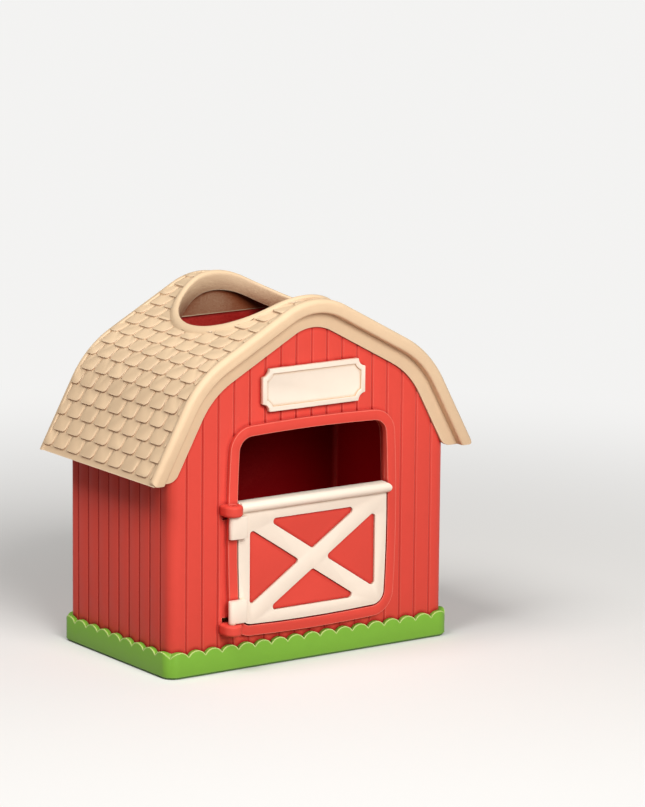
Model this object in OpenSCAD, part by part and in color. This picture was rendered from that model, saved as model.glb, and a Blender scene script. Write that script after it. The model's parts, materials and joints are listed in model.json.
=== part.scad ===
// Toy barn with a half door. The origin is the middle of the footprint, on the
// surface the barn stands on: +Z up, +X to the right, the door faces -Y.

/* [Walls] */
// Width of the walls, side to side
wall_w = 120; // [108:1:140]
// Depth of the walls, front to back
wall_d = 69; // [60:1:84]
// Thickness of the moulded walls
wall_t = 2.5; // [2.2:0.1:3]
// Radius of the upright corners
corner_r = 4; // [3.6:0.2:6]
// Boards across the front and the back
front_boards = 18; // [12:1:24]
// Boards along each side
side_boards = 10; // [6:1:14]
// Width of the V groove between two boards
groove_w = 1.1; // [0.8:0.1:1.6]
// Depth of the V groove
groove_deep = 0.55; // [0.3:0.05:0.8]

/* [Roof] */
// Height of the ridge, where the two upper slopes would meet
ridge_z = 134.9; // [128:0.5:142]
// How far the break between the slopes lies inside the side walls
knee_in = 10.1; // [8:0.1:12]
// Angle of the upper slope
upper_angle = 28.5; // [26:0.5:31]
// Angle of the lower slope
lower_angle = 61.5; // [58:0.5:64]
// Height of the lower edge of the eaves
eave_z = 71.8; // [66:0.2:76]
// Radius of the rounded ridge
ridge_r = 26; // [16:0.5:30]
// Radius of the rounded break between the slopes
knee_r = 40; // [20:1:44]
// Thickness of the roof shell
roof_t = 2.6; // [2.2:0.1:3]
// How far the roof stands out past the front and back walls
roof_over = 4.1; // [3.6:0.1:6]

/* [Roof edge] */
// Width of the rounded bead along the front edge
bead_w = 4; // [3.9:0.1:6]
// How far the front bead stands above the roof
bead_up = 1; // [0.6:0.1:1.6]
// How far the front bead hangs below the roof's top face
bead_down = 4; // [3.4:0.1:4.6]
// Width of the slim rim along the back edge
back_rim_w = 1.8; // [1.2:0.1:3]
// Height of the slim rim along the back edge
back_rim_up = 0.4; // [0.3:0.1:1]
// How far the trim board reaches below the roof's top face
trim_down = 9.4; // [8:0.1:11]
// How far the trim board stands out from the wall
trim_proud = 0.8; // [0.5:0.1:1.2]
// Thickness of the trim board
trim_t = 1.8; // [1.5:0.1:2.2]
// Radius of the trim board's lower ends
trim_end_r = 5; // [3:0.5:6]

/* [Shingles] */
// Length of one row of shingles down the slope
row_len = 6.12; // [5.5:0.01:7]
// Distance from one shingle to the next in a row
shingle_pitch = 9.25; // [8:0.01:11]
// Gap between two shingles of a row
shingle_gap = 1.1; // [0.8:0.1:2]
// Radius of a shingle's lower corners
shingle_r = 1.7; // [1:0.1:3]
// Height of a shingle's lower edge above the roof
shingle_up = 0.7; // [0.4:0.05:0.9]
// Plain strip below the last row of shingles
eave_lip = 2.4; // [1.2:0.1:3]

/* [Drop opening] */
// Radius of the round opening in the roof
drop_r = 28.8; // [24:0.2:29]
// Thickness of the raised collar around it
collar_t = 3.4; // [2.8:0.1:4]
// Height of the collar above the roof
collar_up = 1.7; // [1.5:0.1:3]
// Depth of the collar below the roof's top face
collar_down = 5.6; // [4.5:0.1:7]

/* [Doorway] */
// Width of the doorway at its widest
doorway_w = 66; // [56:1:70]
// Height of the sill of the doorway
sill_z = 15.2; // [14:0.1:18]
// Height of the doorway's top at its middle
doorway_top_z = 85.8; // [82:0.2:88]
// How far each side of the doorway bows outward
side_bow = 1.2; // [0:0.1:2]
// How far the top and the sill bow outward
top_bow = 0.8; // [0:0.1:1.5]
// Corner radius of the doorway
doorway_r = 5.5; // [4:0.5:8]
// Width of the raised frame around the doorway
frame_w = 3.7; // [3:0.1:4.2]
// How far the raised frame stands out from the wall
frame_proud = 1.8; // [1.4:0.1:2.2]

/* [Door] */
// Running gap between the door and the doorway
door_gap = 0.6; // [0.4:0.05:0.9]
// How far the door's face stands out from the wall
door_proud = 1.8; // [1.4:0.1:2.2]
// Thickness of the door's front plate
door_t = 1.8; // [1.5:0.1:2.2]
// Depth of the rim around the back of the door
door_rim_deep = 1.2; // [1:0.1:1.6]
// Height of the top of the door's rail
rail_top_z = 61.6; // [56:0.2:68]
// Height of the thick top rail
rail_h = 3.8; // [3.4:0.1:5.4]
// How far the top rail stands out from the wall
rail_proud = 4; // [3.4:0.1:4.6]
// How far the rail's end reaches past the edge of the doorway
rail_reach = 0.4; // [0:0.1:2.6]
// Width of the plain strip beside the X bracing
stile_w = 4.9; // [3.6:0.1:8]
// Height of the plain strip between the rail and the X bracing
head_h = 3.6; // [2.4:0.1:6]
// Height of the plain strip between the sill and the X bracing
kick_h = 5; // [3.8:0.1:8]
// Width of each diagonal brace
brace_w = 6; // [5:0.1:8]
// How much steeper the braces lie than the field's own diagonal
brace_steeper = 1.5; // [0:0.1:3]
// Corner radius of the triangular openings
brace_r = 1.3; // [0.8:0.1:1.8]
// How far the coloured insets sit behind the door's face
inset_back = 0.7; // [0.4:0.1:1.2]

/* [Hinge] */
// How far the hinge axis lies outside the edge of the doorway
hinge_side = 3; // [2.4:0.1:3.2]
// Distance of the hinge axis in front of the wall
hinge_out = 3.5; // [3.5:0.1:4.2]
// Radius of the hinge pins
pin_r = 1.3; // [1:0.05:1.3]
// Radial running gap around a hinge pin
pin_gap = 0.08; // [0.04:0.01:0.1]
// Length of a hinge pin
pin_len = 3.2; // [2.6:0.1:3.4]
// Height of a hinge barrel
barrel_h = 8; // [6:0.2:9]
// Gap between a barrel and its lug
barrel_gap = 0.3; // [0.2:0.05:0.5]
// Radius of a hinge lug
lug_r = 3.6; // [3.2:0.1:3.8]
// Height of a hinge lug
lug_h = 4.1; // [3.6:0.1:4.6]
// How far the upper lug's underside lies below the underside of the rail
lug_drop = 0.4; // [0.2:0.1:4]
// How far the lower lug's top lies above the sill
lug_rise = 2.7; // [2.2:0.1:4]

/* [Sign] */
// Width of the sign
sign_w = 44.6; // [36:0.2:48]
// Height of the sign
sign_h = 15.6; // [12:0.2:16]
// Height of the sign's middle
sign_z = 101; // [99:0.5:103]
// Thickness of the sign's border
sign_t = 2; // [1.6:0.1:2.6]
// Radius of the sign's scooped corners
sign_notch_r = 2.9; // [2:0.1:4]
// Width of the sign's raised border
sign_border = 1.9; // [1.4:0.1:2.6]
// Depth of the sign's face below the border
sign_recess = 0.5; // [0.3:0.1:0.8]
// Radius of the sign's two pegs
peg_r = 1.3; // [1:0.1:1.6]
// Distance between the sign's two pegs
peg_pitch = 28; // [20:1:32]

/* [Base] */
// How far the grass edge stands out from the walls
grass_out = 1.9; // [1.2:0.1:2.4]
// Radius of the base's upright corners
base_r = 4.8; // [4.2:0.1:6.4]
// Gap between the walls and the grass edge
grass_gap = 0.15; // [0.1:0.05:0.3]
// Height of the valleys between two tufts
grass_valley_z = 7.8; // [6.5:0.1:9]
// Height of the tops of the tufts
grass_top_z = 9.8; // [9:0.1:11]
// Tufts along the front and the back
front_tufts = 17; // [11:1:21]
// Tufts along each side
side_tufts = 9; // [6:1:13]
// Thickness of the floor
floor_t = 2.4; // [2:0.1:3]

/* [Screws] */
// Radius of the screw bosses
boss_r = 3.6; // [3.2:0.1:4]
// Height of the top of the screw bosses
boss_top_z = 13; // [10:0.5:14]
// Radius of the screws' shanks
screw_r = 1.3; // [1.1:0.05:1.5]
// Radius of the screws' heads
screw_head_r = 2.6; // [2.2:0.1:3]
// Height of the screws' heads
screw_head_h = 1.4; // [1.2:0.1:1.6]
// Length of the screws under the head
screw_len = 8; // [6:0.5:9]

/* [Hidden] */

$fn = 48;
fit = 0.12;
eps = 0.01;

half_w = wall_w / 2;
half_d = wall_d / 2;
front_y = -half_d;
roof_half_d = half_d + roof_over;
bead_back_y = -roof_half_d + bead_w;
rim_front_y = roof_half_d - back_rim_w;
knee_x = half_w - knee_in;
hinge_x = doorway_w / 2 + hinge_side;
rail_low_z = rail_top_z - rail_h;
brace_half_w = doorway_w / 2 - door_gap - stile_w;
brace_top_z = rail_low_z - head_h;
brace_bottom_z = sill_z + kick_h;
lug_top_z = rail_low_z - lug_drop;
lug_low_z = sill_z + lug_rise;

red = "#e5503f";
tan_plastic = "#e4c9a4";
green = "#7fb244";
cream = "#f4ead8";
steel = "#b9bcc0";

// --- outlines -----------------------------------------------------------

function unit(v) = v / norm(v);

// Points of a circle's arc from one angle to another
function arc(c, r, a0, a1, n) = [for (i = [0:n]) c + r * [cos(a0 + (a1 - a0) * i / n), sin(a0 + (a1 - a0) * i / n)]];

// The corner p1 between p0 and p2, rounded to radius r with n steps
function rounded(p0, p1, p2, r, n) =
    let (u = unit(p0 - p1), v = unit(p2 - p1),
         half = acos(u * v) / 2,
         c = p1 + unit(u + v) * r / sin(half),
         s = p1 + u * r / tan(half) - c,
         e = p1 + v * r / tan(half) - c,
         a0 = atan2(s[1], s[0]),
         turn = atan2(e[1], e[0]) - a0,
         sweep = turn > 180 ? turn - 360 : turn < -180 ? turn + 360 : turn)
    arc(c, r, a0, a0 + sweep, n);

// Where the slopes meet on the roof's line moved inward by off
function knee_at(off) =
    let (n1 = [sin(upper_angle), cos(upper_angle)], n2 = [sin(lower_angle), cos(lower_angle)])
    [knee_x, ridge_z - knee_x * tan(upper_angle)] - off * (n1 + n2) / (1 + n1 * n2);

// The roof's line from eave to eave, moved inward by off and cut level at z
function roof_line(off, z) =
    let (k = knee_at(off),
         foot = [k[0] + (k[1] - z) / tan(lower_angle), z],
         top = [0, ridge_z - off / cos(upper_angle)],
         right = rounded(foot, k, top, knee_r - off, 8),
         ridge = rounded(k, top, [-k[0], k[1]], ridge_r - off, 14))
    concat([foot], right, ridge, [for (i = [8:-1:0]) [-right[i][0], right[i][1]]], [[-foot[0], z]]);

// The space under the roof's line, seen from the front, moved inward by off
module under_roof(off, z) {
    polygon(roof_line(off, z));
}

// A band that follows the roof's line between two offsets
module roof_band(out, inner, z) {
    polygon(concat(roof_line(out, z), [for (p = roof_line(inner, z)) [p[0], p[1]]]),
            [concat([for (i = [0:len(roof_line(out, z)) - 1]) i],
                    [for (i = [len(roof_line(inner, z)) - 1:-1:0]) i + len(roof_line(out, z))])]);
}

// Stands a drawing of the front view up in the XZ plane, from y0 back to y1
module upright(y0, y1) {
    translate([0, y1, 0]) rotate([90, 0, 0]) linear_extrude(y1 - y0) children();
}

// A rectangle with round corners, centred
module round_rect(w, h, r) {
    offset(r = r) square([w - 2 * r, h - 2 * r], center = true);
}

// The doorway's outline, its sides bowed, grown by g
module doorway_outline(g) {
    mid_z = (sill_z + doorway_top_z) / 2;
    half_h = (doorway_top_z - sill_z) / 2;
    half = doorway_w / 2;
    steps = 6;
    function bow(t) = 1 - t * t;
    side = [for (i = [-steps:steps]) let (t = i / steps)
        [half - side_bow + side_bow * bow(t), t * (half_h - top_bow)]];
    top = [for (i = [steps - 1:-1:1 - steps]) let (t = i / steps)
        [t * (half - side_bow), half_h - top_bow + top_bow * bow(t)]];
    translate([0, mid_z])
        offset(r = g + doorway_r, $fn = 40)
            offset(delta = -doorway_r)
                polygon(concat(side, top, -side, -top));
}

// --- walls --------------------------------------------------------------

function board_marks(length, boards) = [for (i = [1:boards - 1]) -length / 2 + i * length / boards];

wall_top_off = roof_t + fit;
wall_foot_z = floor_t;

module wall_prism(inset, r, z0, z1) {
    translate([0, 0, z0]) linear_extrude(z1 - z0)
        round_rect(wall_w - 2 * inset, wall_d - 2 * inset, r);
}

// One V groove along the outside of the walls, at x on the front
module groove(z0, z1) {
    reach = 0.4;
    slope = groove_w / 2 / groove_deep;
    translate([0, 0, z0]) linear_extrude(z1 - z0)
        polygon([[-groove_w / 2 - slope * reach, -reach], [groove_w / 2 + slope * reach, -reach],
                 [0, groove_deep]]);
}

module board_grooves() {
    z0 = wall_foot_z - 1;
    for (turn = [0, 180]) rotate([0, 0, turn])
        for (x = board_marks(wall_w, front_boards))
            translate([x, front_y, 0]) groove(z0, ridge_z);
    for (turn = [90, -90]) rotate([0, 0, turn])
        for (y = board_marks(wall_d, side_boards))
            translate([y, -half_w, 0]) groove(z0, ridge_z);
}

// The recess in the top edge of a gable that the roof's trim board sits in
module trim_seat() {
    for (turn = [0, 180]) rotate([0, 0, turn])
        upright(front_y - 1, front_y + trim_t - trim_proud + fit)
            difference() {
                translate([-wall_w, eave_z - wall_w]) square([2 * wall_w, 2 * wall_w]);
                under_roof(trim_down + fit, eave_z - wall_w);
            }
}

module pin_hole(z) {
    translate([-hinge_x, front_y - hinge_out, z - eps])
        cylinder(r = pin_r + pin_gap, h = lug_h + 2 * eps);
}

// A rounded eye that carries one hinge pin, its underside at z
module hinge_lug(z) {
    edge = 1.1;
    module section() {
        translate([0, edge]) square([lug_r, lug_h - 2 * edge]);
        square([lug_r - edge, lug_h]);
        for (h = [edge, lug_h - edge]) translate([lug_r - edge, h]) circle(r = edge, $fn = 24);
    }
    translate([-hinge_x, front_y - hinge_out, z]) {
        rotate([0, 0, 180]) rotate_extrude(angle = 180) section();
        translate([0, hinge_out + eps, 0]) rotate([90, 0, 0]) linear_extrude(hinge_out + eps) {
            section();
            mirror([1, 0]) section();
        }
    }
}

// The small window that the mould leaves beside a lug
module lug_window(z) {
    window_h = 1.8;
    window_w = 3.6;
    translate([-hinge_x - window_w / 2 - 0.4, front_y - 1, z])
        cube([window_w, wall_t + 2, window_h]);
}

function boss_places() = [for (sx = [-1, 1], sy = [-1, 1])
    [sx * (half_w - wall_t - boss_r + 0.6), sy * (half_d - wall_t - boss_r + 0.6)]];

catch_w = 7;
catch_h = 1.6;
catch_deep = 0.5;
catch_x = 12;
catch_z = ridge_z - 15.4;

// The shallow pockets that the roof's catches click into
module catch_pockets(grow) {
    for (turn = [0, 180], sx = [-1, 1]) rotate([0, 0, turn])
        translate([sx * catch_x, front_y + wall_t - catch_deep / 2 + eps, catch_z])
            cube([catch_w + 2 * grow, catch_deep + 2 * grow, catch_h + 2 * grow], center = true);
}

module barn_walls() {
    color(red) difference() {
        union() {
            difference() {
                intersection() {
                    wall_prism(0, corner_r, wall_foot_z, ridge_z);
                    upright(-half_d - 1, half_d + 1) under_roof(wall_top_off, 0);
                }
                wall_prism(wall_t, corner_r - wall_t, wall_foot_z - 1, ridge_z + 1);
                board_grooves();
                trim_seat();
                catch_pockets(fit);
            }
            upright(front_y - frame_proud, front_y + eps) doorway_outline(frame_w);
            hinge_lug(lug_top_z);
            hinge_lug(lug_low_z - lug_h);
            for (p = boss_places()) translate([p[0], p[1], wall_foot_z])
                cylinder(r = boss_r, h = boss_top_z - wall_foot_z);
        }
        upright(front_y - frame_proud - 1, front_y + wall_t + 1) doorway_outline(0);
        pin_hole(lug_top_z);
        pin_hole(lug_low_z - lug_h);
        lug_window(lug_low_z);
        lug_window(lug_top_z - 1.8);
        for (p = boss_places()) translate([p[0], p[1], wall_foot_z - 1])
            cylinder(r = screw_r + fit / 2, h = screw_len + 1);
        for (sx = [-1, 1]) translate([sx * peg_pitch / 2, front_y - 1, sign_z]) rotate([-90, 0, 0])
            cylinder(r = peg_r + fit / 2, h = wall_t + 2);
    }
}

// --- roof ---------------------------------------------------------------

ridge_arc = ridge_r * upper_angle * PI / 180;
knee_turn = lower_angle - upper_angle;
knee_arc = knee_r * knee_turn * PI / 180;
upper_straight = knee_x / cos(upper_angle) - ridge_r * tan(upper_angle) - knee_r * tan(knee_turn / 2);
knee_start = ridge_arc + upper_straight;
lower_start = knee_start + knee_arc;
lower_straight = (knee_at(0)[1] - eave_z) / sin(lower_angle) - knee_r * tan(knee_turn / 2);
slope_len = lower_start + lower_straight;

// The roof's slope, in degrees, at a distance s down from the ridge
function slope_at(s) =
    s < ridge_arc ? s / ridge_arc * upper_angle :
    s < knee_start ? upper_angle :
    s < lower_start ? upper_angle + (s - knee_start) / knee_arc * knee_turn : lower_angle;

// The point of the right half of the roof's top face at a distance s from the ridge
function roof_at(s) =
    let (rc = [0, ridge_z - ridge_r / cos(upper_angle)],
         p1 = rc + ridge_r * [sin(upper_angle), cos(upper_angle)],
         p2 = p1 + upper_straight * [cos(upper_angle), -sin(upper_angle)],
         kc = p2 - knee_r * [sin(upper_angle), cos(upper_angle)],
         p3 = kc + knee_r * [sin(lower_angle), cos(lower_angle)],
         a = slope_at(s))
    s < ridge_arc ? rc + ridge_r * [sin(a), cos(a)] :
    s < knee_start ? p1 + (s - ridge_arc) * [cos(a), -sin(a)] :
    s < lower_start ? kc + knee_r * [sin(a), cos(a)] :
    p3 + (s - lower_start) * [cos(a), -sin(a)];

row_count = floor((slope_len - eave_lip) / row_len);
function row_top(row) = slope_len - eave_lip - (row_count - row) * row_len;

// One shingle's outline, from y0 to y1 and down to x = row_len
module shingle_outline(y0, y1) {
    tuck = 0.8;
    r = shingle_r;
    polygon(concat([[-tuck, y0]],
        arc([row_len - r, y0 + r], r, -90, 0, 4),
        arc([row_len - r, y1 - r], r, 0, 90, 4),
        [[-tuck, y1]]));
}

// The ends of each shingle of a row, every other row moved by half a shingle
function shingle_cols(row) =
    let (width = shingle_pitch - shingle_gap,
         shift = (row_count - 1 - row) % 2 == 0 ? 0 : 0.5,
         reach = ceil(roof_half_d / shingle_pitch))
    [for (i = [-reach:reach])
        let (mid = (i + shift) * shingle_pitch - 0.4)
        if (mid - width / 2 < rim_front_y && mid + width / 2 > bead_back_y)
            [mid - width / 2, mid + width / 2]];

function in_drop(x, y) = norm([x, y]) < drop_r + collar_t / 2;

// One row of shingles, each a plate that rises towards its lower edge
module shingle_row(row) {
    s = row_top(row) + row_len / 2;
    p = roof_at(s);
    a = slope_at(s);
    lift = atan(shingle_up / row_len);
    plate = 1.2;
    translate([p[0], 0, p[1]]) rotate([0, a, 0])
        translate([-row_len / 2, 0, 0]) rotate([0, -lift, 0])
            translate([0, 0, -plate]) linear_extrude(plate) intersection() {
                translate([-row_len, bead_back_y - 0.4])
                    square([3 * row_len, rim_front_y - bead_back_y + 0.8]);
                for (c = shingle_cols(row))
                    if (!(in_drop(p[0] - 3, c[0]) && in_drop(p[0] - 3, c[1])
                          && in_drop(p[0] + 3, c[0]) && in_drop(p[0] + 3, c[1])))
                        shingle_outline(c[0], c[1]);
            }
}

// The rounded section of the front bead, x down into the roof and y along its width
module bead_section() {
    r = 1.9;
    low_r = 0.9;
    polygon(concat(
        arc([r - bead_up, r], r, 180, 270, 6),
        arc([bead_down - low_r, low_r], low_r, 270, 360, 4),
        [[bead_down, bead_w]],
        arc([r - bead_up, bead_w - r], r, 90, 180, 6)));
}

// A section swept along the whole of the roof's line as straights and turns, each straight
// run a hair into its turns so that they join
module along_roof() {
    lap = 0.02;
    ridge_c = [0, ridge_z - ridge_r / cos(upper_angle)];
    knee_p = roof_at(knee_start);
    knee_c = knee_p - knee_r * [sin(upper_angle), cos(upper_angle)];
    module straight(s0, len, a) {
        p = roof_at(s0);
        translate([p[0], 0, p[1]]) rotate([0, a, 0])
            multmatrix([[0, 0, 1, 0], [0, 1, 0, 0], [-1, 0, 0, 0], [0, 0, 0, 1]])
                translate([0, 0, -lap]) linear_extrude(len + 2 * lap) children();
    }
    module turn(c, r, a0, a1) {
        translate([c[0], 0, c[1]]) rotate([90, 0, 0]) rotate([0, 0, 90 - a1])
            rotate_extrude(angle = a1 - a0, $fn = 96)
                translate([r, 0]) mirror([1, 0]) mirror([0, 1]) children();
    }
    turn(ridge_c, ridge_r, -upper_angle, upper_angle) children();
    for (side = [0, 1]) mirror([side, 0, 0]) {
        straight(ridge_arc, upper_straight, upper_angle) children();
        turn(knee_c, knee_r, upper_angle, lower_angle) children();
        straight(lower_start, lower_straight + bead_down, lower_angle) children();
    }
}

// The bead along the front edge, cut level at the eaves with its outer corner rounded
module front_bead() {
    line = roof_line(-bead_up, eave_z);
    corner_r = 1.5;
    past = [0.3, -0.3];
    difference() {
        translate([0, -roof_half_d, 0]) along_roof() bead_section();
        translate([-wall_w, -roof_half_d - 1, eave_z - 2 * bead_down])
            cube([2 * wall_w, bead_w + 2, 2 * bead_down]);
        for (side = [0, 1]) mirror([side, 0, 0]) upright(-roof_half_d - 1, bead_back_y + 1)
            polygon(concat([line[0] + past], rounded(line[0] - [9, 0], line[0], line[1], corner_r, 6)));
    }
}

// The rounded section of the collar, x outward from the opening and z above the roof
function collar_section() =
    let (t = collar_t, r = collar_t / 2, low = -collar_down)
    concat([[0, low], [0, collar_up - r]],
        [for (a = [150:-30:30]) [r + r * cos(a), collar_up - r + r * sin(a)]],
        [[t, collar_up - r], [t, -roof_t / 2], [t * 0.7, low]]);

// The roof's top face above a point that is x from the middle
function roof_height(x) =
    let (ax = abs(x), ridge_x = ridge_r * sin(upper_angle))
    ax < ridge_x ? ridge_z - ridge_r / cos(upper_angle) + sqrt(ridge_r * ridge_r - ax * ax)
                 : ridge_z - ax * tan(upper_angle);

// The raised collar: one section carried round the opening as it rides over the ridge
module collar() {
    steps = 72;
    section = collar_section();
    n = len(section);
    function ring(i) = let (a = 360 * i / steps)
        [for (p = section) let (r = drop_r + p[0])
            [r * cos(a), r * sin(a), roof_height(r * cos(a)) + p[1]]];
    points = [for (i = [0:steps - 1]) each ring(i)];
    faces = [for (i = [0:steps - 1], j = [0:n - 1])
        let (a = i * n + j, b = i * n + (j + 1) % n,
             c = ((i + 1) % steps) * n + (j + 1) % n, d = ((i + 1) % steps) * n + j)
        each [[a, c, b], [a, d, c]]];
    polyhedron(points, faces, convexity = 6);
}

// The wall that hangs from the roof inside a gable, with its two catches
inner_drop_z = ridge_z - 18.2;
inner_t = 1.6;

module inner_gable() {
    y0 = front_y + wall_t + fit;
    upright(y0, y0 + inner_t) intersection() {
        under_roof(roof_t - 0.4, 0);
        translate([-wall_w, inner_drop_z]) square([2 * wall_w, wall_w]);
    }
    for (sx = [-1, 1]) translate([sx * catch_x - catch_w / 2, y0 - catch_deep, catch_z - catch_h / 2])
        cube([catch_w, catch_deep + inner_t / 2, catch_h]);
}

// The flat trim board in a gable, the inner corners of its lower ends rounded
module trim_board() {
    outer = roof_line(roof_t / 2, eave_z);
    inner = roof_line(trim_down, eave_z);
    last = len(inner) - 1;
    end = rounded(outer[0], inner[0], inner[1], trim_end_r, 8);
    left_end = [for (i = [8:-1:0]) [-end[i][0], end[i][1]]];
    line = concat(end, [for (i = [1:last - 1]) inner[i]], left_end);
    upright(front_y - trim_proud, front_y - trim_proud + trim_t)
        polygon(concat(outer, [for (i = [len(line) - 1:-1:0]) line[i]]));
}

module roof() {
    color(tan_plastic) union() {
        difference() {
            union() {
                upright(-roof_half_d + 1, roof_half_d) roof_band(0, roof_t, eave_z);
                upright(rim_front_y, roof_half_d) roof_band(-back_rim_up, bead_down, eave_z);
                for (side = [0, 1]) mirror([side, 0, 0])
                    for (row = [0:row_count - 1]) shingle_row(row);
            }
            translate([0, 0, eave_z]) cylinder(r = drop_r + collar_t / 2, h = ridge_z, $fn = 72);
        }
        front_bead();
        collar();
        for (turn = [0, 180]) rotate([0, 0, turn]) {
            trim_board();
            inner_gable();
        }
    }
}

// --- door ---------------------------------------------------------------

door_face_y = front_y - door_proud;
door_back_y = door_face_y + door_t + door_rim_deep;
brace_mid_z = (brace_top_z + brace_bottom_z) / 2;

module door_outline(shrink) {
    intersection() {
        doorway_outline(-door_gap - shrink);
        translate([-doorway_w, 0]) square([2 * doorway_w, rail_top_z - shrink]);
    }
}

// The four triangles between the braces, shrunk by s
module brace_openings(s) {
    half_h = (brace_top_z - brace_bottom_z) / 2;
    diagonal = atan2(half_h, brace_half_w) + brace_steeper;
    length = 3 * brace_half_w;
    translate([0, brace_mid_z]) offset(r = brace_r - s, $fn = 32) offset(delta = -brace_r)
        difference() {
            square([2 * brace_half_w, 2 * half_h], center = true);
            for (a = [diagonal, -diagonal]) rotate(a) square([length, brace_w], center = true);
        }
}

// The hinge barrel seen from above: round at the pin, square over the door's edge
module barrel_outline() {
    wall_r = pin_r + 0.1;
    edge = 0.9;
    foot_x = hinge_side + door_gap + side_bow + 0.2;
    x_end = foot_x + edge;
    foot_y = hinge_out - door_proud + 0.3;
    polygon(concat(
        arc([0, 0], wall_r, 90, 270, 16),
        arc([x_end - edge, -wall_r + edge], edge, -90, 0, 5),
        [[x_end, foot_y], [foot_x, foot_y], [foot_x, wall_r]]));
}

// A hinge barrel whose underside is at z, with its pin above or below
module hinge_barrel(z, pin_up) {
    translate([-hinge_x, front_y - hinge_out, z]) {
        linear_extrude(barrel_h) barrel_outline();
        translate([0, 0, pin_up ? barrel_h - 1 : -pin_len]) cylinder(r = pin_r, h = pin_len + 1);
    }
}

// The thick top rail with its round end
module top_rail() {
    x0 = -hinge_x + lug_r + 0.5;
    x1 = doorway_w / 2 + rail_reach;
    r = min(1.9, rail_h / 2);
    depth = rail_proud + door_back_y - front_y;
    translate([0, 0, rail_low_z]) difference() {
        translate([x0, 0, 0]) rotate([90, 0, 90]) linear_extrude(x1 - x0) hull() {
            for (h = [r, rail_h - r]) translate([front_y - rail_proud + r, h]) circle(r = r, $fn = 32);
            for (h = [0.5, rail_h - 0.5]) translate([door_back_y - 0.5, h]) circle(r = 0.5, $fn = 16);
        }
        // the end is rounded, and the part behind the frame is cut back to the door's edge
        translate([doorway_w / 2 - door_gap - side_bow / 2, front_y - frame_proud - 0.3, -1])
            cube([rail_reach + 10, depth, rail_h + 2]);
        end_r = rail_h / 2;
        translate([x1 - end_r, 0, 0]) rotate([90, 0, 0]) linear_extrude(wall_d, center = false)
            difference() {
                translate([0, -1]) square([end_r + 1, rail_h + 2]);
                translate([0, end_r]) circle(r = end_r);
            }
    }
}

module door_leaf() {
    color(cream) union() {
        upright(door_face_y, door_face_y + door_t) difference() {
            door_outline(0);
            brace_openings(0);
        }
        upright(door_face_y + door_t - eps, door_back_y) difference() {
            door_outline(0);
            door_outline(1.2);
        }
        top_rail();
        hinge_barrel(lug_top_z - barrel_gap - barrel_h, true);
        hinge_barrel(lug_low_z + barrel_gap, false);
    }
}

module door_inset() {
    color(red) {
        y0 = door_face_y + door_t;
        upright(y0, door_back_y) intersection() {
            door_outline(1.2 + fit);
            translate([-doorway_w, 0]) square([2 * doorway_w, rail_low_z - fit]);
        }
        upright(door_face_y + inset_back, y0 + eps) brace_openings(fit);
    }
}

// --- sign ---------------------------------------------------------------

module sign_outline(inset) {
    difference() {
        square([sign_w - 2 * inset, sign_h - 2 * inset], center = true);
        for (sx = [-1, 1], sz = [-1, 1]) translate([sx * sign_w / 2, sz * sign_h / 2])
            circle(r = sign_notch_r + inset);
    }
}

module sign_plate() {
    color(cream) translate([0, 0, sign_z]) {
        difference() {
            upright(front_y - sign_t, front_y) sign_outline(0);
            upright(front_y - sign_t - 1, front_y - sign_t + sign_recess) sign_outline(sign_border);
        }
        for (sx = [-1, 1]) translate([sx * peg_pitch / 2, front_y - sign_t / 2, 0]) rotate([-90, 0, 0])
            cylinder(r = peg_r, h = sign_t / 2 + wall_t);
    }
}

// --- base ---------------------------------------------------------------

tuft_zone = grass_top_z - grass_valley_z;
base_w = wall_w + 2 * grass_out;
base_d = wall_d + 2 * grass_out;

// What lies above a row of round-topped tufts along an edge, with a valley on each corner
module above_tufts(length, tufts) {
    span = length - 2 * base_r * (1 - cos(45));
    pitch = span / tufts;
    r = (pitch * pitch / 4 + tuft_zone * tuft_zone) / (2 * tuft_zone);
    half = asin(pitch / 2 / r);
    polygon(concat([[length, grass_valley_z], [length, grass_top_z + 1], [-length, grass_top_z + 1],
                    [-length, grass_valley_z]],
        [for (i = [0:tufts - 1]) each
            arc([-span / 2 + (i + 0.5) * pitch, grass_top_z - r], r, 90 + half, 90 - half, 8)]));
}

// Cuts the tufts into the edge that faces -Y, mitred at 45 degrees where it meets the next
module cut_tufts(length, across, tufts) {
    reach = base_r + grass_gap;
    intersection() {
        upright(-across / 2 - 2, -across / 2 + reach) above_tufts(length, tufts);
        translate([0, -across / 2, 0]) linear_extrude(2 * grass_top_z)
            polygon([[-length / 2 - 2 - eps, -2], [length / 2 + 2 + eps, -2],
                     [length / 2 - reach + eps, reach], [-length / 2 + reach - eps, reach]]);
    }
}

module base() {
    edge = 0.9;
    color(green) difference() {
        union() {
            translate([0, 0, 2 * edge]) linear_extrude(grass_top_z - 2 * edge)
                round_rect(base_w, base_d, base_r);
            hull() {
                linear_extrude(2 * edge) round_rect(base_w - 2 * edge, base_d - 2 * edge, base_r - edge);
                translate([0, 0, edge]) linear_extrude(2 * edge) round_rect(base_w, base_d, base_r);
            }
        }
        translate([0, 0, floor_t]) linear_extrude(grass_top_z)
            round_rect(wall_w + 2 * grass_gap, wall_d + 2 * grass_gap, corner_r + grass_gap);
        for (turn = [0, 180]) rotate([0, 0, turn]) {
            cut_tufts(base_w, base_d, front_tufts);
            rotate([0, 0, 90]) cut_tufts(base_d, base_w, side_tufts);
        }
        for (p = boss_places()) translate([p[0], p[1], -1]) {
            cylinder(r = screw_r + 0.2, h = floor_t + 2);
            cylinder(r = screw_head_r + 0.3, h = 1 + screw_head_h + 0.1);
        }
    }
}

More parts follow.
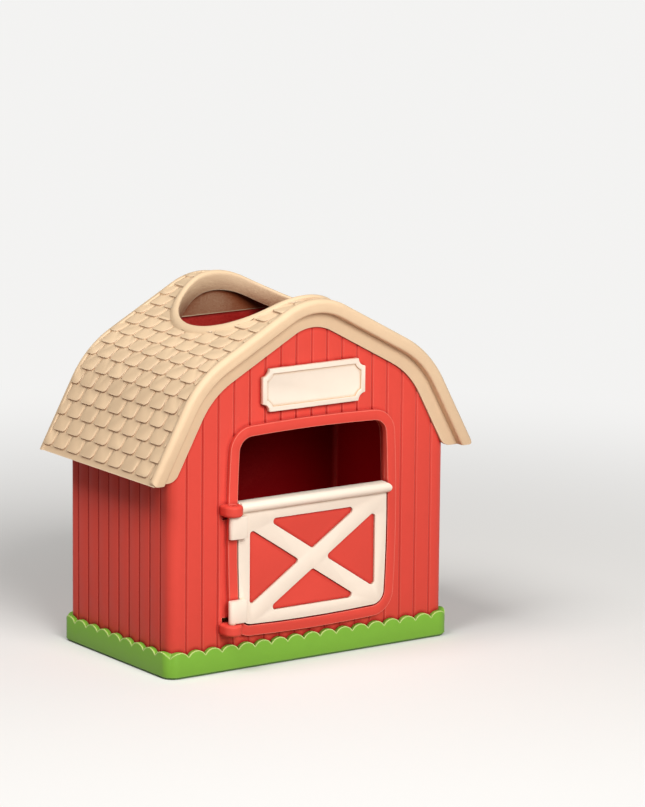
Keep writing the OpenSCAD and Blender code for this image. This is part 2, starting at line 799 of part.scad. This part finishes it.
module base_screws() {
    color(steel) for (p = boss_places()) translate([p[0], p[1], 0.1]) difference() {
        union() {
            cylinder(r = screw_head_r, h = screw_head_h);
            cylinder(r = screw_r, h = screw_head_h + screw_len - 1.2);
            translate([0, 0, screw_head_h + screw_len - 1.2]) cylinder(r1 = screw_r, r2 = 0.3, h = 1.2);
        }
        for (a = [0, 90]) rotate([0, 0, a]) translate([-1.4, -0.3, -1]) cube([2.8, 0.6, 1.7]);
    }
}

barn_walls();
roof();
base();
door_leaf();
door_inset();
sign_plate();
base_screws();
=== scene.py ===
"""Finishes the toy barn: rounds the moulded edges of each plastic piece, gives every
piece its own plastic and sets up the studio. Laid out as an add-on, run as a script."""

import json
import math

import bpy
from mathutils import Matrix, Vector
from mathutils.bvhtree import BVHTree

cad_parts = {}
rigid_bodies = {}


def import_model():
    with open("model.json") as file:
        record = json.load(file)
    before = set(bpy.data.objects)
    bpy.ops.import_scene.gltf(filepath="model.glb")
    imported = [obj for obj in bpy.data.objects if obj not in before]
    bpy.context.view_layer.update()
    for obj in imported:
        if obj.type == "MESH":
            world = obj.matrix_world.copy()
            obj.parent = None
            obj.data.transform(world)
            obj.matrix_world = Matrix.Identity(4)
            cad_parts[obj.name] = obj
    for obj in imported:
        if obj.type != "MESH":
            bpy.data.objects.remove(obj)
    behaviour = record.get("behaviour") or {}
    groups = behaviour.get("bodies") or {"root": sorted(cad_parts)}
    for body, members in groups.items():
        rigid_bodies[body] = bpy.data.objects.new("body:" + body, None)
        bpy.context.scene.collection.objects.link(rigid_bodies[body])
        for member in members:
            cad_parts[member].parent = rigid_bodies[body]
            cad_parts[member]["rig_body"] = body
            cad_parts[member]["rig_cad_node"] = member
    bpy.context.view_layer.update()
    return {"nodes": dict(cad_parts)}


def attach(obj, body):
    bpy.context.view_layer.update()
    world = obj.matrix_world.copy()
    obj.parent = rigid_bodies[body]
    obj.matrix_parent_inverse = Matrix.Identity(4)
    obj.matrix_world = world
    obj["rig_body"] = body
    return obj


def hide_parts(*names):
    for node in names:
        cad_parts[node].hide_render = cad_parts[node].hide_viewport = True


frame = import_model()

bl_info = {
    "name": "Toy Barn Finish",
    "version": (1, 0, 0),
    "blender": (4, 5, 0),
    "location": "3D Viewport > Sidebar > Barn",
    "description": "Moulded plastic finish and studio for the toy barn",
    "category": "Object",
}

MM = 0.001

# --- moulded edges ------------------------------------------------------

# Corners of the CAD mesh that lie nearer together than this become one
WELD = 0.0005 * MM
# Facets that meet flatter than this become one face
FLAT_JOIN = math.radians(0.8)
# Edges that turn by more than this are rounded
ROUNDED_TURN = math.radians(32)
# Edges that turn by less than this are shaded smooth
SMOOTH_TURN = math.radians(34)
# Faces across one rounding
ROUNDING_STEPS = 2
# How far off the CAD surface a rounding may leave a corner, as a share of its width
STRAY_SHARE = 0.6

# --- moulded plastic ----------------------------------------------------

# Scales of the noises: the melt's slow drift, the soft mottle and the fine grain
FLOW_SCALE = 26.0
CLOUD_SCALE = 240.0
GRAIN_SCALE = 2600.0
# How much darker and lighter the drift makes the colour
FLOW_SHARE = 0.04
# How far the roughness goes to either side, as the mottle goes through its middle
ROUGHNESS_DRIFT = 0.05
CLOUD_MIDDLE = (0.3, 0.7)
# Relief of the grain and of the mottle
GRAIN_BUMP = {"Strength": 0.08, "Distance": 0.03 * MM}
CLOUD_BUMP = {"Strength": 0.10, "Distance": 0.10 * MM}
PLASTIC_IOR = 1.48
# Rays that a material sends out to find an edge or a crease
EDGE_SAMPLES = 8
# How fast the painted highlight comes up where the surface turns, and goes where its side is
# closed
HIGHLIGHT_GAIN = 8.0
HIGHLIGHT_FALL = 3.5
# How far round a point the material looks for the walls of a room, to paint shade within the shell
ROOM_REACH = 90 * MM
# How fast the painted shade within the shell goes where a groove or step closes the side
INSIDE_SHADE_FALL = 2.0
# The barn's inner space lies nearer its middle than this, along Y, and only there is the shade
# within the shell painted
GABLE_FACE = 33.8 * MM

# --- zinc of the screws -------------------------------------------------

# Scale of its mottle, and its tones and roughness from one end of the mottle to the other
ZINC_SCALE = 900.0
ZINC_TONES = (0.75, 1.1)
ZINC_ROUGHNESS = (0.28, 0.5)

# --- studio -------------------------------------------------------------

FLOOR_SIZE = 8.0
# The even tone that the floor fades into and that stands behind the barn
PALE_GROUND = (0.90, 0.895, 0.885, 1.0)
# The paper's tone to the eye and in reflections, and to the light that it throws back
PAPER_SEEN = (0.80, 0.795, 0.785, 1.0)
PAPER_THROWN = (0.36, 0.27, 0.24, 1.0)
# The paper runs out into the pale ground between these distances from the barn's middle
PAPER_FADE = (0.10, 0.48)
# The weak even light from all round
AIR_TINT = (1.0, 0.985, 0.965, 1.0)
AIR_STRENGTH = 0.13
# Both lamps are discs that face this point
LAMP_AIM = Vector((0, 0, 0.06))
KEY_LAMP = {"place": (-0.15, -1.15, 0.75), "size": 0.80, "power": 17.5, "tint": (1.0, 0.98, 0.955)}
TOP_LAMP = {"place": (-0.60, -0.10, 1.08), "size": 0.60, "power": 8.2, "tint": (1.0, 0.985, 0.96)}
# The photograph's camera, solved from the barn's own edges: degrees, metres and pixels
CAMERA_AZIMUTH = 34.884
CAMERA_ELEVATION = 11.518
CAMERA_ROLL = 0.554
CAMERA_PLACE = Vector((-895.28, -1325.53, 414.11)) * MM
FOCAL_PIXELS = 4463.34
PHOTO_HEIGHT = 807
# In millimetres, as lenses are, over the photograph's height
SENSOR_SIZE = 36.0
# Nearest and farthest that the camera sees
CLIP_NEAR = 0.05
CLIP_FAR = 20.0


# --- settings -----------------------------------------------------------


def srgb(hex_code):
    """A colour written as rrggbb, in the linear values that shaders take."""
    parts = [int(hex_code[i : i + 2], 16) / 255 for i in (0, 2, 4)]
    return [c / 12.92 if c <= 0.04045 else ((c + 0.055) / 1.055) ** 2.4 for c in parts] + [1.0]


def colour_setting(name, what, hex_code):
    return bpy.props.FloatVectorProperty(
        name=name, description=what, default=srgb(hex_code), size=4, min=0, max=1, subtype="COLOR"
    )


def length_setting(name, what, millimetres):
    return bpy.props.FloatProperty(
        name=name,
        description=what,
        default=millimetres * MM,
        min=0,
        unit="LENGTH",
        subtype="DISTANCE",
    )


class BarnColours(bpy.types.PropertyGroup):
    """Colours of the moulded plastics and the screws, and of the painted highlights and painted
    shade on the plastics.
    """

    walls: colour_setting("Walls", "Coral red of the plank walls", "de4e42")
    # Painted highlight along the walls' outer edges
    walls_painted_highlight: colour_setting("Wall rims", "Paler red along the walls' outer edges", "fa9c8a")
    # Painted shade in the grooves between the planks
    walls_painted_crease_shade: colour_setting("Wall creases", "Deep red between the planks", "a3171a")
    # Painted shade on the walls' inner faces within the shell
    walls_painted_inside_shade: colour_setting("Wall insides", "Painted deep red shade on the walls' inner faces", "820006")
    roof: colour_setting("Roof", "Straw tan of the roof", "e3c7a4")
    # Painted highlight along the shingles and the bead
    roof_painted_highlight: colour_setting("Roof rims", "Pale line along the shingles and the bead", "f1dec3")
    # Painted shade under the shingles and the bead
    roof_painted_crease_shade: colour_setting("Roof creases", "Brown under the shingles and the bead", "a3754a")
    # Painted shade under the roof within the shell
    roof_painted_inside_shade: colour_setting("Roof inside", "Painted reddish brown shade under the roof", "7a3a1c")
    base: colour_setting("Base", "Grass green of the base", "79b03a")
    # Painted highlight along the tufts
    base_painted_highlight: colour_setting("Base rims", "Pale yellow-green along the tufts", "dcea9e")
    # Painted shade between the tufts, and weaker on the floor within the barn
    base_painted_shade: colour_setting("Base creases", "Deep green between the tufts", "3f7a1c")
    door: colour_setting("Door", "Warm cream of the door and the sign", "f4e8d8")
    # Painted highlight along the door's edges
    door_painted_highlight: colour_setting("Door rims", "Near white along the door's edges", "fbf4ea")
    # Painted shade at the steps of the door and the sign
    door_painted_crease_shade: colour_setting("Door creases", "Tan at the steps of the door and sign", "cf9f68")
    screws: colour_setting("Screws", "Zinc of the screws", "a9abae")


class BarnSizes(bpy.types.PropertyGroup):
    """Roundings of the moulded edges."""

    wall_round: length_setting("Wall rounding", "Most that the walls' edges are rounded", 0.35)
    roof_round: length_setting("Roof rounding", "Rounding of the roof's edges", 0.22)
    base_round: length_setting("Base rounding", "Most that the base's edges are rounded", 0.4)
    door_round: length_setting("Door rounding", "Most that the door's edges are rounded", 0.35)
    panel_round: length_setting("Panel rounding", "Rounding of the door panel's edges", 0.2)
    sign_round: length_setting("Sign rounding", "Rounding of the sign's edges", 0.3)
    screw_round: length_setting("Screw rounding", "Rounding of the screws' edges", 0.12)


# --- modelling ----------------------------------------------------------


def deselect_all():
    if bpy.context.mode != "OBJECT":
        bpy.ops.object.mode_set(mode="OBJECT")
    bpy.ops.object.select_all(action="DESELECT")


def pick(obj):
    """Makes obj the only selected object."""
    deselect_all()
    obj.hide_set(False)
    obj.select_set(True)
    bpy.context.view_layer.objects.active = obj


def copy_of_node(node, name):
    """A free copy of a CAD node, picked and under its own name."""
    pick(frame["nodes"][node])
    bpy.ops.object.duplicate()
    piece = bpy.context.active_object
    piece.name = name
    piece.parent = None
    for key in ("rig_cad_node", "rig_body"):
        if key in piece:
            del piece[key]
    return piece


def join_facets(piece):
    """Joins the loose triangles of a copied CAD mesh into its flat faces."""
    pick(piece)
    if piece.data.has_custom_normals:
        bpy.ops.mesh.customdata_custom_splitnormals_clear()
    bpy.ops.object.mode_set(mode="EDIT")
    bpy.ops.mesh.select_all(action="SELECT")
    bpy.ops.mesh.remove_doubles(threshold=WELD)
    bpy.ops.mesh.dissolve_degenerate(threshold=WELD)
    bpy.ops.mesh.dissolve_limited(angle_limit=FLAT_JOIN)
    bpy.ops.object.mode_set(mode="OBJECT")


def pull_in(piece, node, reach):
    """Puts each corner that lies farther than reach off the CAD node's surface back on it."""
    corners = [vertex.co for vertex in node.data.vertices]
    surface = BVHTree.FromPolygons(corners, [face.vertices for face in node.data.polygons])
    for vertex in piece.data.vertices:
        place, _, _, far = surface.find_nearest(vertex.co)
        if far > reach:
            vertex.co = place


def round_edges(piece, node, width, held):
    """Rounds the sharp edges. A held rounding stops where it would meet the next one, so
    the short facets of the walls, the base and the door leave it next to nothing. One that
    isn't held has its full width, and the corners that it throws off are pulled in."""
    bevel = piece.modifiers.new("Rounding", "BEVEL")
    bevel.width = width
    bevel.segments = ROUNDING_STEPS
    bevel.limit_method = "ANGLE"
    bevel.angle_limit = ROUNDED_TURN
    bevel.use_clamp_overlap = held
    bevel.harden_normals = False
    bpy.ops.object.modifier_apply(modifier=bevel.name)
    pull_in(piece, frame["nodes"][node], STRAY_SHARE * width)


def moulded_piece(node, name, body, rounding, material, held=True):
    """Puts a copy with rounded edges and its own material in place of a CAD node."""
    piece = copy_of_node(node, name)
    join_facets(piece)
    if rounding > 0:
        round_edges(piece, node, rounding, held)
    bpy.ops.object.shade_smooth_by_angle(angle=SMOOTH_TURN)
    piece.data.materials.clear()
    piece.data.materials.append(material)
    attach(piece, body)
    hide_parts(node)


# --- materials ----------------------------------------------------------


def named(collection, name):
    """What a collection of Blender's data holds under a name, made where there is none."""
    return collection.get(name) or collection.new(name)


class ShaderTree:
    """The nodes of a material or of the world, built afresh."""

    def __init__(self, owner):
        owner.use_nodes = True
        self.nodes = owner.node_tree.nodes
        self.links = owner.node_tree.links
        self.nodes.clear()

    def add(self, kind, links=(), **values):
        """Adds a node. values are its properties or unlinked inputs, links its linked inputs."""
        node = self.nodes.new(kind)
        for key, value in values.items():
            if key in node.inputs:
                node.inputs[key].default_value = value
            else:
                setattr(node, key, value)
        for key, socket in dict(links).items():
            self.links.new(socket, node.inputs[key])
        return node

    def fill(self, socket, value):
        """Links a socket to another node's output, or sets it to a plain value."""
        if isinstance(value, bpy.types.NodeSocket):
            self.links.new(value, socket)
        else:
            socket.default_value = value

    def maths(self, operation, a, b=None, clamp=False):
        """A sum on one or two numbers, each a plain one or another node's output."""
        node = self.add("ShaderNodeMath", operation=operation, use_clamp=clamp)
        self.fill(node.inputs[0], a)
        if b is not None:
            self.fill(node.inputs[1], b)
        return node.outputs[0]

    def mix(self, factor, a, b, blend="MIX"):
        """Colour a, turned into b by factor. A Mix node's colours are its inputs 6 and 7."""
        node = self.add("ShaderNodeMix", data_type="RGBA", blend_type=blend)
        for i, value in ((0, factor), (6, a), (7, b)):
            self.fill(node.inputs[i], value)
        return node.outputs[2]

    def toned(self, colour, factor):
        """A linked colour, made lighter or darker by the same factor all over."""
        return self.mix(1.0, colour, (factor, factor, factor, 1.0), blend="MULTIPLY")

    def noise(self, at, scale, detail, roughness):
        values = {"Scale": scale, "Detail": detail, "Roughness": roughness}
        return self.add("ShaderNodeTexNoise", {"Vector": at}, **values).outputs["Fac"]

    def ramp(self, value, start, end, result=(0.0, 1.0), shape="LINEAR"):
        """value, carried from start and end to the two ends of result."""
        ends = {"From Min": start, "From Max": end, "To Min": result[0], "To Max": result[1]}
        node = self.add("ShaderNodeMapRange", {"Value": value}, interpolation_type=shape, **ends)
        return node.outputs["Result"]

    def openness(self, reach, own_piece=False):
        """How open the space over a point is: 1 with nothing within reach, 0 closed all round."""
        node = self.add("ShaderNodeAmbientOcclusion", samples=EDGE_SAMPLES, Distance=reach)
        node.only_local = own_piece
        return node.outputs["AO"]

    def turn(self, width):
        """How far an edge within width turns the surface: 0 on a flat face."""
        facing = self.add("ShaderNodeNewGeometry").outputs["Normal"]
        rounded = self.add("ShaderNodeBevel", samples=EDGE_SAMPLES, Radius=width).outputs["Normal"]
        along = self.add("ShaderNodeVectorMath", {0: rounded, 1: facing}, operation="DOT_PRODUCT")
        return self.maths("SUBTRACT", 1.0, along.outputs["Value"], clamp=True)


def scaled(colour, factor):
    """A plain colour, made lighter or darker."""
    return [min(1, c * factor) for c in colour[:3]] + [1.0]


def shade_within_shell(s, at, open_side, openness, own_room):
    """How far a point between the gables is closed in by the shell, from 0 at the first
    openness to 1 at the second, which sets how much painted shade it gets. own_room counts only
    the piece's own walls."""
    closed = s.ramp(s.openness(ROOM_REACH, own_room), *openness, shape="SMOOTHSTEP")
    depth = s.add("ShaderNodeSeparateXYZ", {0: at}).outputs["Y"]
    between_gables = s.maths("LESS_THAN", s.maths("ABSOLUTE", depth), GABLE_FACE)
    closed = s.maths("MULTIPLY", closed, s.maths("POWER", open_side, INSIDE_SHADE_FALL))
    return s.maths("MULTIPLY", closed, between_gables)


def moulded_plastic(
    name,
    colour,
    painted_highlight,
    painted_crease_shade,
    *,
    highlight_width,
    highlight_share,
    crease_reach,
    crease_shade_share,
    crease_shade_gain=1.7,
    painted_inside_shade=None,
    inside_shade_share=1.0,
    openness=(1.0, 0.0),
    own_room=True,
    roughness=0.42,
    mottle=0.03,
    specular=0.4,
):
    """Satin injection-moulded plastic: a faint drift of colour where the melt flowed, a fine
    grain, a painted highlight where an outer edge turns, painted shade in creases and,
    where a colour for it is given, painted shade of that colour where the shell closes round the
    room."""
    material = named(bpy.data.materials, name)
    s = ShaderTree(material)
    at = s.add("ShaderNodeTexCoord").outputs["Object"]
    flow = s.noise(at, FLOW_SCALE, detail=2.0, roughness=0.5)
    cloud = s.noise(at, CLOUD_SCALE, detail=3.0, roughness=0.6)
    grain = s.noise(at, GRAIN_SCALE, detail=2.0, roughness=0.6)

    open_side = s.openness(crease_reach)
    # Painted highlight: a paler colour where an outer edge turns the surface, faded where its side
    # is closed
    highlight_mask = s.maths("MULTIPLY", s.turn(highlight_width), HIGHLIGHT_GAIN, clamp=True)
    highlight_mask = s.maths("MULTIPLY", highlight_mask, s.maths("POWER", open_side, HIGHLIGHT_FALL))
    # Painted shade: a deeper colour where a groove or step closes the side
    crease_shade_mask = s.maths("SUBTRACT", 1.0, open_side, clamp=True)
    crease_shade_mask = s.maths("MULTIPLY", crease_shade_mask, crease_shade_gain, clamp=True)

    body = s.mix(flow, scaled(colour, 1 - FLOW_SHARE), scaled(colour, 1 + FLOW_SHARE))
    body = s.mix(cloud, s.toned(body, 1 - mottle), s.toned(body, 1 + mottle))
    # Painted shade within the shell, where the barn's walls and roof close round a point
    if painted_inside_shade is not None:
        inside_shade_mask = shade_within_shell(s, at, open_side, openness, own_room)
        body = s.mix(s.maths("MULTIPLY", inside_shade_mask, inside_shade_share), body, painted_inside_shade)
    body = s.mix(s.maths("MULTIPLY", crease_shade_mask, crease_shade_share), body, painted_crease_shade)
    body = s.mix(s.maths("MULTIPLY", highlight_mask, highlight_share), body, painted_highlight)

    ends = (roughness - ROUGHNESS_DRIFT, roughness + ROUGHNESS_DRIFT)
    rough = s.ramp(cloud, *CLOUD_MIDDLE, ends)
    grained = s.add("ShaderNodeBump", {"Height": grain}, **GRAIN_BUMP).outputs["Normal"]
    relief = s.add("ShaderNodeBump", {"Height": cloud, "Normal": grained}, **CLOUD_BUMP)
    links = {"Base Color": body, "Roughness": rough, "Normal": relief.outputs["Normal"]}
    values = {"IOR": PLASTIC_IOR, "Specular IOR Level": specular}
    plastic = s.add("ShaderNodeBsdfPrincipled", links, **values)
    s.add("ShaderNodeOutputMaterial", {"Surface": plastic.outputs[0]})
    return material


def wall_plastic(name, colours):
    """Coral red, with painted deep red shade in the grooves between the planks and on the shell's
    inner faces, and a painted paler highlight on its outer edges.
    """
    return moulded_plastic(
        name,
        colours.walls,
        colours.walls_painted_highlight,
        colours.walls_painted_crease_shade,
        highlight_width=0.6 * MM,
        highlight_share=0.75,
        crease_reach=1.5 * MM,
        crease_shade_share=0.9,
        painted_inside_shade=colours.walls_painted_inside_shade,
        openness=(0.92, 0.76),
        specular=0.12,
    )


def roof_plastic(name, colours):
    """Straw tan, a little duller than the rest, with painted reddish brown shade under the roof,
    painted brown shade under the shingles and a painted pale highlight on the edges.
    """
    return moulded_plastic(
        name,
        colours.roof,
        colours.roof_painted_highlight,
        colours.roof_painted_crease_shade,
        highlight_width=0.7 * MM,
        highlight_share=0.8,
        crease_reach=0.7 * MM,
        crease_shade_share=0.65,
        painted_inside_shade=colours.roof_painted_inside_shade,
        openness=(0.80, 0.52),
        own_room=False,
        roughness=0.52,
        mottle=0.05,
        specular=0.3,
    )


def base_plastic(name, colours):
    """Grass green, with a painted pale highlight along the tufts, painted deep green shade between
    them and a weaker painted shade on the floor within the barn.
    """
    return moulded_plastic(
        name,
        colours.base,
        colours.base_painted_highlight,
        colours.base_painted_shade,
        highlight_width=0.9 * MM,
        highlight_share=0.9,
        crease_reach=1.5 * MM,
        crease_shade_share=0.8,
        painted_inside_shade=colours.base_painted_shade,
        inside_shade_share=0.4,
        openness=(0.88, 0.70),
        mottle=0.04,
        specular=0.3,
    )


def door_plastic(name, colours):
    """Warm cream, with a painted near white highlight on its edges and faint painted tan shade at
    its steps.
    """
    return moulded_plastic(
        name,
        colours.door,
        colours.door_painted_highlight,
        colours.door_painted_crease_shade,
        highlight_width=0.4 * MM,
        highlight_share=0.4,
        crease_reach=0.8 * MM,
        crease_shade_share=0.45,
    )


def sign_plastic(name, colours):
    """The door's cream, with strong painted tan shade at the step round the sign's face."""
    return moulded_plastic(
        name,
        colours.door,
        colours.door_painted_highlight,
        colours.door_painted_crease_shade,
        highlight_width=0.4 * MM,
        highlight_share=0.1,
        crease_reach=1.1 * MM,
        crease_shade_share=0.9,
        crease_shade_gain=5.0,
    )


def screw_zinc(name, colours):
    """Dull zinc plate with a fine mottle."""
    material = named(bpy.data.materials, name)
    s = ShaderTree(material)
    at = s.add("ShaderNodeTexCoord").outputs["Object"]
    marks = s.noise(at, ZINC_SCALE, detail=3.0, roughness=0.6)
    tone = s.mix(marks, *(scaled(colours.screws, factor) for factor in ZINC_TONES))
    rough = s.ramp(marks, 0.0, 1.0, ZINC_ROUGHNESS)
    links = {"Base Color": tone, "Roughness": rough}
    zinc = s.add("ShaderNodeBsdfPrincipled", links, Metallic=1.0)
    s.add("ShaderNodeOutputMaterial", {"Surface": zinc.outputs[0]})
    return material


# --- stage --------------------------------------------------------------


def photo_camera():
    """Stands the camera where the photograph's stood, with its lens and its slight roll."""
    azimuth, elevation, roll = map(math.radians, (CAMERA_AZIMUTH, CAMERA_ELEVATION, CAMERA_ROLL))
    level = Vector((-math.sin(azimuth), -math.cos(azimuth), 0))
    back = level * math.cos(elevation) + Vector((0, 0, math.sin(elevation)))
    right = Vector((math.cos(azimuth), -math.sin(azimuth), 0))
    up = back.cross(right)
    rolled_right = math.cos(roll) * right + math.sin(roll) * up
    rolled_up = math.cos(roll) * up - math.sin(roll) * right
    turn = Matrix((rolled_right, rolled_up, back)).transposed().to_4x4()
    bpy.ops.object.camera_add()
    camera = bpy.context.active_object
    camera.name = "photo_camera"
    camera.matrix_world = Matrix.Translation(CAMERA_PLACE) @ turn
    camera.data.sensor_width = SENSOR_SIZE
    camera.data.lens = FOCAL_PIXELS / PHOTO_HEIGHT * SENSOR_SIZE
    camera.data.clip_start = CLIP_NEAR
    camera.data.clip_end = CLIP_FAR
    bpy.context.scene.camera = camera


def soft_lamp(name, place, size, power, tint):
    bpy.ops.object.light_add(type="AREA", location=place)
    lamp = bpy.context.active_object
    lamp.name = name
    lamp.data.shape = "DISK"
    lamp.data.size = size
    lamp.data.energy = power
    lamp.data.color = tint
    way = LAMP_AIM - Vector(place)
    lamp.rotation_euler = way.to_track_quat("-Z", "Y").to_euler()


def studio_paper():
    """Pale paper that holds the barn's shadow and runs out into an even pale ground. Light
    that it throws on the barn comes from a darker, warmer tone, so that it stays weak."""
    material = named(bpy.data.materials, "studio_paper")
    s = ShaderTree(material)
    path = s.add("ShaderNodeLightPath").outputs
    seen = s.maths("MAXIMUM", path["Is Camera Ray"], path["Is Glossy Ray"])
    seen = s.maths("MAXIMUM", seen, path["Is Transmission Ray"])
    paper = s.add("ShaderNodeBsdfDiffuse", {"Color": s.mix(seen, PAPER_THROWN, PAPER_SEEN)})
    ground = s.add("ShaderNodeEmission", Color=PALE_GROUND, Strength=1.0)
    at = s.add("ShaderNodeTexCoord").outputs["Object"]
    away = s.add("ShaderNodeVectorMath", {0: at}, operation="LENGTH").outputs["Value"]
    far = s.ramp(away, *PAPER_FADE, shape="SMOOTHSTEP")
    share = s.maths("MULTIPLY", far, seen)
    surface = s.add("ShaderNodeMixShader", {0: share, 1: paper.outputs[0], 2: ground.outputs[0]})
    s.add("ShaderNodeOutputMaterial", {"Surface": surface.outputs[0]})
    return material


def studio_air():
    """A weak even light from all round, which the camera sees as the same pale ground."""
    world = named(bpy.data.worlds, "studio_air")
    s = ShaderTree(world)
    light = s.add("ShaderNodeBackground", Color=AIR_TINT, Strength=AIR_STRENGTH)
    ground = s.add("ShaderNodeBackground", Color=PALE_GROUND, Strength=1.0)
    seen = s.add("ShaderNodeLightPath").outputs["Is Camera Ray"]
    surface = s.add("ShaderNodeMixShader", {0: seen, 1: light.outputs[0], 2: ground.outputs[0]})
    s.add("ShaderNodeOutputWorld", {"Surface": surface.outputs[0]})
    return world


class BARN_OT_studio(bpy.types.Operator):
    """Sets the pale floor, the soft lamps and the camera"""

    bl_idname = "barn.studio"
    bl_label = "Studio"

    def execute(self, context):
        deselect_all()
        bpy.ops.mesh.primitive_plane_add(size=FLOOR_SIZE, location=(0, 0, 0))
        floor = context.active_object
        floor.name = "studio_floor"
        floor.data.materials.append(studio_paper())
        context.scene.world = studio_air()
        soft_lamp("key_lamp", **KEY_LAMP)
        soft_lamp("top_lamp", **TOP_LAMP)
        photo_camera()
        context.scene.view_settings.view_transform = "Standard"
        return {"FINISHED"}


# --- the barn's pieces --------------------------------------------------


class BARN_OT_walls(bpy.types.Operator):
    """Eases the plank walls' edges and gives them coral red plastic"""

    bl_idname = "barn.walls"
    bl_label = "Walls"

    def execute(self, context):
        sizes, colours = context.scene.barn_sizes, context.scene.barn_colours
        moulded_piece(
            "barn_walls",
            name="plank_walls",
            body="barn",
            rounding=sizes.wall_round,
            material=wall_plastic("wall_plastic_look", colours),
        )
        return {"FINISHED"}


class BARN_OT_roof(bpy.types.Operator):
    """Rounds the shingled roof and gives it straw tan plastic"""

    bl_idname = "barn.roof"
    bl_label = "Roof"

    def execute(self, context):
        sizes, colours = context.scene.barn_sizes, context.scene.barn_colours
        moulded_piece(
            "roof",
            name="shingled_roof",
            body="barn",
            rounding=sizes.roof_round,
            material=roof_plastic("roof_plastic_look", colours),
            held=False,
        )
        return {"FINISHED"}


class BARN_OT_base(bpy.types.Operator):
    """Eases the tufted base's edges, rounds its screws and gives them plastic and zinc"""

    bl_idname = "barn.base"
    bl_label = "Base and screws"

    def execute(self, context):
        sizes, colours = context.scene.barn_sizes, context.scene.barn_colours
        moulded_piece(
            "base",
            name="grass_base",
            body="barn",
            rounding=sizes.base_round,
            material=base_plastic("base_plastic_look", colours),
        )
        moulded_piece(
            "base_screws",
            name="recessed_screws",
            body="barn",
            rounding=sizes.screw_round,
            material=screw_zinc("screw_zinc_look", colours),
        )
        return {"FINISHED"}


class BARN_OT_door(bpy.types.Operator):
    """Eases the half door's edges, rounds its panel and gives them cream and coral plastic"""

    bl_idname = "barn.door"
    bl_label = "Door"

    def execute(self, context):
        sizes, colours = context.scene.barn_sizes, context.scene.barn_colours
        moulded_piece(
            "door_leaf",
            name="braced_door",
            body="door",
            rounding=sizes.door_round,
            material=door_plastic("door_plastic_look", colours),
        )
        moulded_piece(
            "door_inset",
            name="door_panel",
            body="door",
            rounding=sizes.panel_round,
            material=wall_plastic("inset_plastic_look", colours),
        )
        return {"FINISHED"}


class BARN_OT_sign(bpy.types.Operator):
    """Rounds the bare sign over the doorway and gives it cream plastic"""

    bl_idname = "barn.sign"
    bl_label = "Sign"

    def execute(self, context):
        sizes, colours = context.scene.barn_sizes, context.scene.barn_colours
        moulded_piece(
            "sign_plate",
            name="gable_sign",
            body="barn",
            rounding=sizes.sign_round,
            material=sign_plastic("sign_plastic_look", colours),
            held=False,
        )
        return {"FINISHED"}


class BARN_PT_panel(bpy.types.Panel):
    """Lists the barn's pieces and their settings."""

    bl_idname = "BARN_PT_panel"
    bl_label = "Toy Barn"
    bl_space_type = "VIEW_3D"
    bl_region_type = "UI"
    bl_category = "Barn"

    def draw(self, context):
        layout = self.layout
        for group in (context.scene.barn_colours, context.scene.barn_sizes):
            for key in group.__annotations__:
                layout.prop(group, key)
        for operator in STEPS:
            layout.operator(operator.bl_idname)


STEPS = (BARN_OT_studio, BARN_OT_walls, BARN_OT_roof, BARN_OT_base, BARN_OT_door, BARN_OT_sign)
CLASSES = (BarnColours, BarnSizes) + STEPS + (BARN_PT_panel,)


def register():
    for cls in CLASSES:
        bpy.utils.register_class(cls)
    bpy.types.Scene.barn_colours = bpy.props.PointerProperty(type=BarnColours)
    bpy.types.Scene.barn_sizes = bpy.props.PointerProperty(type=BarnSizes)


def unregister():
    del bpy.types.Scene.barn_sizes
    del bpy.types.Scene.barn_colours
    for cls in reversed(CLASSES):
        bpy.utils.unregister_class(cls)


def main():
    register()
    bpy.ops.barn.studio()
    bpy.ops.barn.walls()
    bpy.ops.barn.roof()
    bpy.ops.barn.base()
    bpy.ops.barn.door()
    bpy.ops.barn.sign()


if __name__ == "__main__":
    main()
